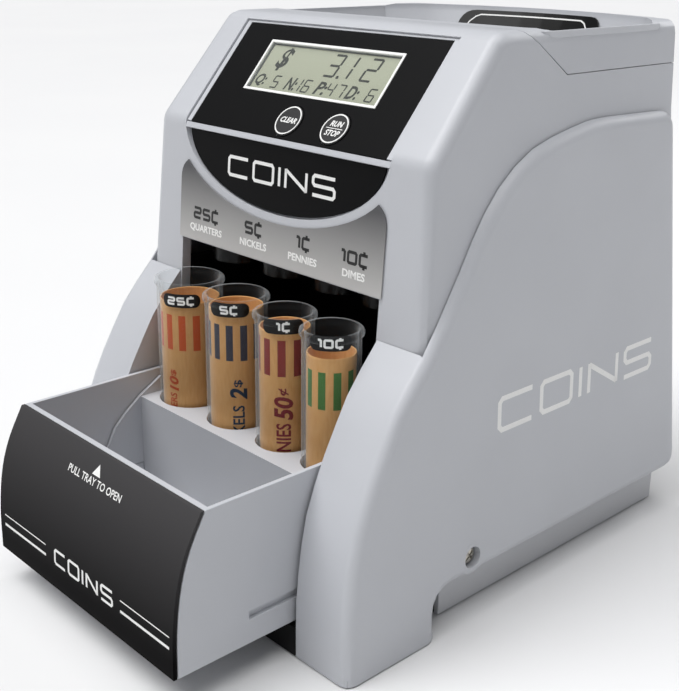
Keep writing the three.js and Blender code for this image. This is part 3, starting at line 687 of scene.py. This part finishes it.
def set_camera():
    """A camera in front, above and to the right."""
    azimuth, elevation, roll = (math.radians(turn) for turn in CAMERA_TURNS)
    back = Vector(
        (
            math.sin(azimuth) * math.cos(elevation),
            -math.cos(azimuth) * math.cos(elevation),
            math.sin(elevation),
        )
    )
    right = Vector((math.cos(azimuth), math.sin(azimuth), 0))
    up = back.cross(right)
    x_axis = right * math.cos(roll) + up * math.sin(roll)
    y_axis = up * math.cos(roll) - right * math.sin(roll)
    turn = Matrix((x_axis, y_axis, back)).transposed().to_4x4()
    lens = bpy.data.cameras.new("camera")
    lens.sensor_width = 36
    lens.lens = LENS_MM
    lens.shift_y = LENS_SHIFT
    lens.clip_start = 10 * MM
    camera = bpy.data.objects.new("camera", lens)
    bpy.context.scene.collection.objects.link(camera)
    camera.matrix_world = Matrix.Translation(CAMERA_PLACE) @ turn
    bpy.context.scene.camera = camera


def area_light(name, place, aim, size, watts, tint="#ffffff"):
    light = bpy.data.lights.new(name, "AREA")
    light.shape = "RECTANGLE"
    light.size, light.size_y = size
    light.energy = watts
    light.color = linear(tint)[:3]
    lamp = bpy.data.objects.new(name, light)
    bpy.context.scene.collection.objects.link(lamp)
    lamp.location = place
    lamp.rotation_euler = (Vector(aim) - Vector(place)).to_track_quat("-Z", "Y").to_euler()


def sky_light(name, place, strength, spread):
    """A broad soft light from far off, shining from a place towards the middle."""
    light = bpy.data.lights.new(name, "SUN")
    light.energy = strength
    light.angle = math.radians(spread)
    lamp = bpy.data.objects.new(name, light)
    bpy.context.scene.collection.objects.link(lamp)
    lamp.rotation_euler = (-Vector(place)).to_track_quat("-Z", "Y").to_euler()


def set_studio():
    """A white sweep under broad soft light; the camera sees the room brighter than it shines."""
    scene = bpy.context.scene
    scene.view_settings.view_transform = "Standard"
    world = bpy.data.worlds.new("studio")
    world.use_nodes = True
    tree = world.node_tree
    room = tree.nodes["Background"]
    room.inputs["Color"].default_value = linear("#f4f6fb")
    room.inputs["Strength"].default_value = 0.17
    sweep = add_node(tree, "ShaderNodeBackground", {"Color": linear("#ffffff"), "Strength": 1.0})
    seen = add_node(tree, "ShaderNodeLightPath")
    mixed = add_node(
        tree,
        "ShaderNodeMixShader",
        {
            0: seen.outputs["Is Camera Ray"],
            1: room.outputs["Background"],
            2: sweep.outputs["Background"],
        },
    )
    tree.links.new(mixed.outputs["Shader"], tree.nodes["World Output"].inputs["Surface"])
    scene.world = world
    sky_light("key", (-0.55, -0.75, 1.5), 1.5, 40)
    sky_light("overhead", (0.0, -0.25, 1.5), 2.2, 60)
    area_light("side strip", (1.3, -0.5, 0.9), (0, 0, 0.12), (0.25, 1.0), 0.25)
    area_light("rear edge", (0.3, 1.2, 0.9), (0, 0, 0.18), (1.0, 0.3), 3)
    deselect()
    bpy.ops.mesh.primitive_plane_add(size=60)
    floor = bpy.context.object
    floor.name = "floor"
    floor.location = (0, 0, -0.2 * MM)
    settle(floor)
    paper, tree, shader = new_material("seamless white paper", roughness=0.9)
    tone = between(tree, object_noise(tree, 300).outputs["Fac"], "#dededf", "#e2e2e2")
    tree.links.new(tone.outputs["Color"], shader.inputs["Base Color"])
    floor.data.materials.append(paper)


# ---- housing ----
def make_housing(finish):
    silver = finish["silver"]
    for node in ("right_pod", "left_pod", "front_housing", "hopper_shell", "back_cover"):
        moulding(node, silver, 0.5)
    moulding("hopper_floor", silver, corner=ROUND_CORNER)
    moulding("base_pan", finish["black matt"], 0.6)
    moulding("base_plate", finish["black matt"], 0.4)
    for node in ("right_skirt", "left_skirt"):
        moulding(node, finish["grey"], 0.4)


def make_bay(finish):
    moulding("bay_liner", finish["black matt"], 0.3)
    moulding("chute_block", finish["black gloss"], 0.6)
    moulding("coin_rail", finish["black gloss"], 0.4)
    for node in ("tray_rail_right", "tray_rail_left"):
        moulding(node, finish["black matt"], 0.3)


def make_foot(node, finish):
    """A soft rubber foot with a shallow groove round its side and a dished contact face."""
    low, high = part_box(node)
    x, y = (low.x + high.x) / 2 / MM, (low.y + high.y) / 2 / MM
    contact = [(0, 0.25), (4.6, 0.25), (5.0, 0), (5.6, 0), (6.0, 0.3), (6.1, 0.9)]
    groove = [(5.8, 1.1), (5.8, 1.3), (6.15, 1.5)]
    top = [(6.35, 2.1), (6.2, 2.3), (0, 2.3)]
    piece = turned(contact + groove + top, (x * MM, y * MM, 0), 40)
    smooth(piece, math.radians(40))
    complete(piece, node + "_pad", finish["rubber"], body_with(node), [node])


# ---- screws ----
def screw_piece(head, shaft, length):
    """A cross-recessed pan-head screw, its head's top at zero and its shaft down the axis."""
    profile = [(0, -length), (shaft, -length), (shaft, -1.5), (head, -1.5), (head, -0.9)]
    profile += [(head * 0.93, -0.55), (head * 0.75, -0.22), (head * 0.45, -0.04), (0, 0)]
    piece = turned(profile, (0, 0, 0), 32)
    for turn in (0, math.pi / 2):
        deselect()
        bpy.ops.mesh.primitive_cube_add(size=1)
        slot = bpy.context.object
        slot.dimensions = (head * 1.25 * MM, head * 0.26 * MM, 1.7 * MM)
        slot.rotation_euler = (0, 0, turn + math.pi / 4)
        settle(slot)
        take(piece)
        recess = piece.modifiers.new("recess", "BOOLEAN")
        recess.object = slot
        recess.solver = "EXACT"
        recess.operation = "DIFFERENCE"
        bpy.ops.object.modifier_apply(modifier=recess.name)
        bpy.data.objects.remove(slot)
    smooth(piece, math.radians(30))
    return piece


def make_screws(finish):
    for node in ("side_screw_left", "side_screw_right"):
        low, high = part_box(node)
        side = 1 if low.x > 0 else -1
        piece = screw_piece(3.55, 1.7, 4.3)
        face_x = high.x if side > 0 else low.x
        piece.data.transform(
            Matrix.Translation((face_x, (low.y + high.y) / 2, (low.z + high.z) / 2))
            @ Matrix.Rotation(side * math.pi / 2, 4, "Y")
        )
        complete(piece, node + "_head", finish["nickel"], "housing", [node])
    for i in range(1, 5):
        node = f"cover_screw_{i}"
        low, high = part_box(node)
        piece = screw_piece(2.65, 1.4, 5.8)
        piece.data.transform(
            Matrix.Translation(((low.x + high.x) / 2, high.y, (low.z + high.z) / 2))
            @ Matrix.Rotation(-math.pi / 2, 4, "X")
        )
        complete(piece, node + "_head", finish["nickel"], "housing", [node])


# ---- console ----
# Which bars of a seven-segment digit are dark.
SEGMENTS = {
    "1": "bc",
    "2": "abged",
    "3": "abgcd",
    "4": "fgbc",
    "5": "afgcd",
    "6": "afgedc",
    "7": "abc",
}


def digit(character, height, width, stroke):
    """One seven-segment digit around its own middle, leaning to the right."""
    half, tall = width / 2, height / 2
    gap = stroke * 0.18
    level = (width - stroke * 0.9 - 2 * gap, stroke)
    upright = (stroke, tall - stroke * 0.55 - 2 * gap)
    inset = half - stroke / 2
    places = {
        "a": (0, tall - stroke / 2, level),
        "g": (0, 0, level),
        "d": (0, -tall + stroke / 2, level),
        "b": (inset, tall / 2, upright),
        "c": (inset, -tall / 2, upright),
        "f": (-inset, tall / 2, upright),
        "e": (-inset, -tall / 2, upright),
    }
    bars = []
    for key in SEGMENTS[character]:
        x, y, (w, h) = places[key]
        bar = plate(w, h, SEGMENT_DEPTH, corner=min(w, h) * 0.32)
        bar.data.transform(Matrix.Translation((x * MM, y * MM, 0)))
        bars.append(bar)
    piece = joined(bars)
    lean = Matrix.Identity(4)
    lean[0][1] = 0.12
    piece.data.transform(lean)
    return piece


def make_display(finish):
    moulding("lcd_bezel", finish["white print"], 0.1)
    moulding("lcd_module", finish["lcd"], 0.2)
    moulding("lcd_window", finish["window"], 0.1)
    marks = []
    for character, x in (("3", 4.6), ("1", 12.0), ("2", 24.6)):
        mark = digit(character, 10.8, 6.4, 0.95)
        mapped(mark, on_console(x, SUM_ROW, GLASS_FACE))
        marks.append(mark)
    point = plate(1.3, 1.3, SEGMENT_DEPTH, corner=0.35)
    mapped(point, on_console(9.2, 30.2, GLASS_FACE))
    marks.append(point)
    counts = (("5", -22.6), ("1", -9.4), ("6", -4.1), ("4", 9.6), ("7", 15.0), ("6", 31.4))
    for character, x in counts:
        mark = digit(character, 6.0, 3.9, 0.55)
        mapped(mark, on_console(x, COUNT_ROW, GLASS_FACE))
        marks.append(mark)
    for words, x in (("Q:", -31.8), ("N:", -13.2), ("P:", 4.2), ("D:", 21.8)):
        mark = fitted(lettering(words, 7.4, slant=0.25, weight=0.22), 6.4, 6.0)
        mapped(mark, on_console(x, COUNT_ROW, GLASS_FACE))
        marks.append(mark)
    dollar = fitted(lettering("$", 12.5, slant=0.25, weight=0.3), 7.2, 11.2)
    mapped(dollar, on_console(-25.4, SUM_ROW + 0.1, GLASS_FACE))
    marks.append(dollar)
    complete(joined(marks), "display_segments", finish["lcd ink"], "housing")


def make_key(node, x, words, finish):
    """A key cap with a printed ring and its words."""
    body = body_with(node)
    moulding(node, finish["key"], 0.35)
    circle = ring(6.35, 5.8, KEY_PRINT_DEPTH)
    mapped(circle, on_console(x, KEY_ROW, KEY_FACE))
    prints = [circle]
    for text, up in words:
        line = lettering(text, 3.3, stretch=0.92, slant=0.2, weight=0.09)
        mapped(line, on_console(x, KEY_ROW + up, KEY_FACE))
        prints.append(line)
    if len(words) > 1:
        rule = plate(8.6, 0.28, KEY_PRINT_DEPTH)
        mapped(rule, on_console(x, KEY_ROW, KEY_FACE))
        prints.append(rule)
    complete(joined(prints), node + "_print", finish["white print"], body)


def make_trim(finish):
    """The silver border that fills the recess round the overlay, up to the overlay's face."""
    low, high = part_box("console_overlay")
    half = high.x / MM
    length = (high.z - low.z) / MM / math.sin(SLOPE)
    depth = 0.85
    strips = []
    for side in (-1, 1):
        strip = plate(2.6, length - 0.5, depth)
        mapped(strip, on_console(side * (half + 1.45), length / 2 - OVERLAY_LIP, RECESS_FLOOR))
        strips.append(strip)
    head = plate(2 * half + 5.5, 1.0, depth)
    mapped(head, on_console(0, length - 0.2, RECESS_FLOOR))
    knee = plate(2 * half + 5.5, 2.3, 1.2)
    mapped(knee, on_plane((SLOPE + FRONT_LEAN) / 2, 0, -2.05, -2.05))
    trim = joined(strips + [head, knee])
    bevelled(trim, 0.15, 2)
    smooth(trim)
    complete(trim, "console_trim", finish["silver"], "housing")


def make_console(finish):
    moulding("console_overlay", finish["overlay"], 0.12)
    moulding("lower_overlay", finish["overlay"], 0.12)
    moulding("denomination_label", finish["label"], 0.1)
    make_trim(finish)
    make_display(finish)
    make_key("clear_button", -0.4, [("CLEAR", 0)], finish)
    make_key("run_button", 25.4, [("RUN", 1.9), ("STOP", -2.1)], finish)
    title = squared("COINS", 13.2, 8.6, 1.35, 2.4)
    mapped(title, on_front(0.6, -15.4, OVERLAY_FACE))
    complete(title, "front_title", finish["white print"], "housing")
    dark, light = [], []
    for words, name, x in (
        ("25¢", "QUARTERS", -42.6),
        ("5¢", "NICKELS", -11.6),
        ("1¢", "PENNIES", 18),
        ("10¢", "DIMES", 46),
    ):
        value = squared(words, 5.4, 5.2, 1.15, 0.7)
        mapped(value, on_front(x, -37.9, LABEL_FACE))
        dark.append(value)
        kind = lettering(name, 3.9, stretch=1.12, weight=0.12)
        mapped(kind, on_front(x, -44.2, LABEL_FACE))
        light.append(kind)
    complete(joined(dark), "label_values", finish["black print"], "housing")
    complete(joined(light), "label_names", finish["white print"], "housing")


# ---- tray and tubes ----
def make_tray(finish):
    moulding("coin_tray", finish["tray"], 0.35)
    moulding("tube_rack", finish["tray"], 0.35)
    # The tray front's lighter top is painted reflection in its film's colour.
    moulding("tray_front", finish["tray film with painted reflection"], 0.3)
    prints = []
    pull = lettering("PULL TRAY TO OPEN", 3.7, weight=0.03)
    mapped(pull, on_tray_face(2, 62.3))
    prints.append(pull)
    deselect()
    bpy.ops.mesh.primitive_cylinder_add(vertices=3, radius=3.4 * MM, depth=PRINT_DEPTH * MM)
    arrow = fitted(bpy.context.object, 5.2, 3.8)
    mapped(arrow, on_tray_face(1.6, 66.4))
    prints.append(arrow)
    for x, length in ((-39.4, 32), (42.8, 29.5)):
        for height, weight in ((29.4, 0.45), (25.2, 1.1)):
            rule = plate(length, weight, 0.05)
            mapped(rule, on_tray_face(x, height))
            prints.append(rule)
    title = squared("COINS", 8.2, 6.9, 1.1, 1.65)
    sliced(title, 4, 1.0, way=(0, 1, 0))
    mapped(title, on_tray_face(3.2, 27.4))
    prints.append(title)
    complete(joined(prints), "tray_print", finish["white print"], "tray")


# Sizes in mm and facings in degrees round from the front to the right, for each tube:
# outer, wrap      the diameters of the tube and of its paper wrapper
# paper_top        the height of the wrapper's lip
# sticker          its facing, its height and the value on it
# bars             how many there are, one bar's facing, their foot, top and colour
# word             the coin's name up the wrapper, its middle's height, its length, its letters' size
# figures, mark    the sum and its currency sign, in the same way
# facing           which way the name, sum and sign look
TUBES = {
    "quarter": {
        "outer": 27.4,
        "wrap": 24.8,
        "paper_top": 107,
        "sticker": (38, 108.4, "25¢"),
        "bars": (13, 37.4, 86.4, 101.6, "#d9541c"),
        "word": ("QUARTERS", 57.4, 19.6, 4.2),
        "figures": ("10", 71.6, 6.2, 4.8),
        "mark": ("$", 76.3, 2.8, 3.0),
        "facing": 16,
    },
    "nickel": {
        "outer": 25,
        "wrap": 21.9,
        "paper_top": 110.6,
        "sticker": (38.5, 111.8, "5¢"),
        "bars": (12, 36.7, 90.3, 105, "#12304f"),
        "word": ("NICKELS", 60.2, 22.4, 4.8),
        "figures": ("2", 76.4, 4.8, 7.0),
        "mark": ("$", 80.9, 3.2, 3.6),
        "facing": 54,
    },
    "penny": {
        "outer": 23,
        "wrap": 19.8,
        "paper_top": 109.6,
        "sticker": (46, 112.4, "1¢"),
        "bars": (10, 42, 92, 106.5, "#8c1424"),
        "word": ("PENNIES", 61.8, 22.4, 5.8),
        "figures": ("50", 79.2, 9.4, 7.6),
        "mark": ("¢", 86.0, 3.0, 3.8),
        "facing": 46,
    },
    "dime": {
        "outer": 22.2,
        "wrap": 18.6,
        "paper_top": 106.3,
        "sticker": (45, 112.8, "10¢"),
        "bars": (10, 61, 86.5, 101, "#2c7a35"),
        "word": ("DIMES", 57.5, 14, 5),
        "figures": ("5", 68.6, 4.6, 6.6),
        "mark": ("$", 72.6, 2.6, 2.6),
        "facing": 84,
    },
}


# The wrapper's foot stands this high, on the tube's floor, in mm.
PAPER_FOOT = 17.6
TUBE_STEPS = 72


def make_tube(name, facts, finish):
    """A clear tube with a beaded mouth, its printed paper wrapper and its value sticker."""
    node = name + "_tube"
    low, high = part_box(node)
    x, y = (low.x + high.x) / 2 / MM, (low.y + high.y) / 2 / MM
    top = high.z / MM
    body = body_with(node)
    centre = Vector((x * MM, y * MM, 0))
    r = facts["outer"] / 2
    inner = r - 1.1
    foot = [(0, 15.6), (r - 1.2, 15.6), (r - 0.35, 15.9), (r, 16.8)]
    neck = [(r, top - 3.4), (r + 0.45, top - 2.9)]
    bead = [(r + 0.95, top - 2.2), (r + 1.0, top - 1.4), (r + 0.75, top - 0.5), (r + 0.1, top)]
    mouth = [(inner + 0.3, top - 0.15), (inner, top - 0.9)]
    well = [(inner, PAPER_FOOT), (inner - 0.6, 17.1), (0, 17.1)]
    tube = turned(foot + neck + bead + mouth + well, centre, TUBE_STEPS)
    smooth(tube, ROUND_CORNER)
    complete(tube, node + "_shell", finish["clear"], body, [node])

    bars, bar_facing, bar_low, bar_high, bar_code = facts["bars"]
    paper = facts["wrap"] / 2
    lip = facts["paper_top"]
    wall = [(paper - 0.42, PAPER_FOOT), (paper, PAPER_FOOT), (paper, lip - 0.8)]
    rolled = [(paper - 0.05, lip - 0.2), (paper - 0.25, lip), (paper - 0.5, lip - 0.15)]
    inside = [(paper - 0.55, lip - 0.9), (paper - 0.42, lip - 1.6)]
    wrapper = turned(wall + rolled + inside, centre, TUBE_STEPS)
    smooth(wrapper, ROUND_CORNER)
    # A quarter of the pattern's turn brings the middle of a bar to the facing.
    phase = 0.25 - (bar_facing - 90) / 360 * bars
    kraft = kraft_paper(
        f"printed kraft paper {name}",
        centre,
        paper * MM,
        bars,
        bar_code,
        bar_low * MM,
        bar_high * MM,
        phase,
    )
    complete(wrapper, name + "_paper", kraft, body, [name + "_wrapper"])

    prints = []
    for part, weight in (("word", 0.1), ("figures", 0.2), ("mark", 0.1)):
        words, height, length, tall = facts[part]
        slant = 0.15 if part == "figures" else 0
        run = lettering(words, 6, slant=slant, weight=weight, turn=math.pi / 2)
        fitted(run, tall, length)
        sliced(run, 4, 0.8)
        mapped(run, on_tube(x, y, paper + 0.05, facts["facing"], height))
        prints.append(run)
    bar_ink = ink(f"{name} paper ink", bar_code)
    complete(joined(prints), name + "_paper_print", bar_ink, body)

    facing, height, value = facts["sticker"]
    sticker = plate(16.2, 5.7, 0.12, corner=2.5)
    sliced(sticker, 7.1, 1.0125)
    mapped(sticker, on_tube(x, y, r + 0.02, facing, height))
    complete(sticker, name + "_sticker", finish["sticker"], body)
    figures = squared(value, 3.7, 3.5, 0.85, 0.5)
    sliced(figures, 8, 0.8)
    mapped(figures, on_tube(x, y, r + 0.16, facing, height))
    complete(figures, name + "_sticker_print", finish["white print"], body)


# ---- hopper, drive and side ----
def make_hopper(finish):
    label = moulding("hopper_plate", finish["sticker"], 0.15)
    # The printed label sits a little higher on the leaning wall than the plate's middle.
    label.data.transform(Matrix.Translation((0, 0.75 * MM, 2.6 * MM)))
    corners = [(-38, -8.4), (-38, 6.6), (29, 6.6), (29, -8.4), (-38, -8.4)]
    outline = stroked([eased(eased(corners, 4.2), 1.4)], 0.6)
    sliced(outline, 40, 2)
    bpy.context.view_layer.update()
    mapped(outline, on_label(label, -0.5, 208.6))
    complete(outline, "hopper_label_outline", finish["white print"], "housing")
    moulding("coin_plate", finish["black matt"], 0.5)
    moulding("coin_disc", finish["black gloss"], 0.5)


def make_inside(finish):
    """Parts behind the housing, which show only when it is opened."""
    for node in ("motor_bracket", "gear_motor"):
        moulding(node, finish["steel"], 0.5)
    for node in ("console_board", "main_board", "sensor_board"):
        moulding(node, finish["board"], 0.15)
    for node in ("clear_pad", "run_pad"):
        moulding(node, finish["rubber"], 0.3)
    moulding("dc_inlet", finish["black gloss"], 0.3)


def side_title(finish):
    title = squared("COINS", 21.5, 14.6, 2.1, 3.9)
    mapped(title, on_side(48.5, 80.6))
    complete(title, "side_title", finish["white print"], "housing")


finishes = {
    # Moulded ABS with a metallic silver tint: a soft satin with a barely seen grain.
    "silver": moulded_plastic("silver ABS", "#bbbdc2", "#c3c5ca", 0.4),
    "tray": moulded_plastic("silver ABS tray", "#bcbec3", "#c3c5ca", 0.42),
    "grey": moulded_plastic("grey ABS", "#c8c9cc", "#cfd0d3", 0.5),
    # Black ABS: polished where the coins slide, sparked to a matt grain elsewhere.
    "black gloss": moulded_plastic(
        "polished black ABS",
        "#020202",
        "#050506",
        0.24,
        grain_mm=1.2,
        depth_mm=0.01,
        spread=0.04,
        sheen=0.2,
    ),
    "black matt": moulded_plastic(
        "sparked black ABS",
        "#040405",
        "#09090a",
        0.6,
        grain_mm=0.8,
        depth_mm=0.04,
        spread=0.05,
        sheen=0.25,
    ),
    # Silicone rubber: dull, the keys a little smoother than the feet.
    "key": moulded_plastic(
        "black silicone key", "#161617", "#1e1e1f", 0.42, grain_mm=0.5, depth_mm=0.01
    ),
    "rubber": moulded_plastic(
        "rubber", "#151515", "#1f1f1f", 0.85, grain_mm=0.5, depth_mm=0.05
    ),
    # Printed film, by its two colours, the fade's two heights, its roughness and its sheen.
    "overlay": printed_film(
        "black polycarbonate film", "#0b0b0c", "#0f0f10", 0.14, 0.22, 0.45, 0.06
    ),
    "label": printed_film(
        "grey polycarbonate film", "#bbbab8", "#565658", 0.128, 0.158, 0.45, 0.2
    ),
    # The tray front's film is painted lighter towards its top: painted reflection.
    "tray film with painted reflection": printed_film("black film with painted reflection", "#060506", "#454445", 0.02, 0.071, 0.5, 0.02),
    "sticker": printed_film("black vinyl", "#060607", "#090909", 0.0, 0.2, 0.35, 0.2),
    "lcd": printed_film(
        "reflective liquid crystal glass", "#a9aa97", "#b4b5a3", 0.188, 0.207, 0.5, 0.2
    ),
    # Flat screen inks.
    "white print": ink("white ink", "#f4f4f2"),
    "black print": ink("black ink", "#101010"),
    "lcd ink": ink("liquid crystal", "#23251f"),
    # Clear styrene: the last number is how strongly its edges show, pale with painted reflection.
    "clear": clear_styrene("clear styrene", "#fafbfb", 0.75),
    "window": clear_styrene("clear window", "#fafbfa", 0.4),
    # Bare metal: bright nickel on the screws, duller zinc on the parts inside.
    "nickel": brushed_metal("nickel plate", "#a9a49a", "#c9c5bb", 0.28, stretch=(1, 1, 1)),
    "steel": brushed_metal("zinc-plated steel", "#a9abad", "#c4c6c8", 0.38),
    "board": moulded_plastic(
        "solder-masked board", "#1c5733", "#24633c", 0.4, grain_mm=1.0, depth_mm=0.01
    ),
}

set_camera()
set_studio()
make_housing(finishes)
make_bay(finishes)
for foot in ("foot_front_left", "foot_front_right", "foot_rear_left", "foot_rear_right"):
    make_foot(foot, finishes)
make_screws(finishes)
make_console(finishes)
side_title(finishes)
make_tray(finishes)
for tube_name, tube_facts in TUBES.items():
    make_tube(tube_name, tube_facts, finishes)
make_hopper(finishes)
make_inside(finishes)
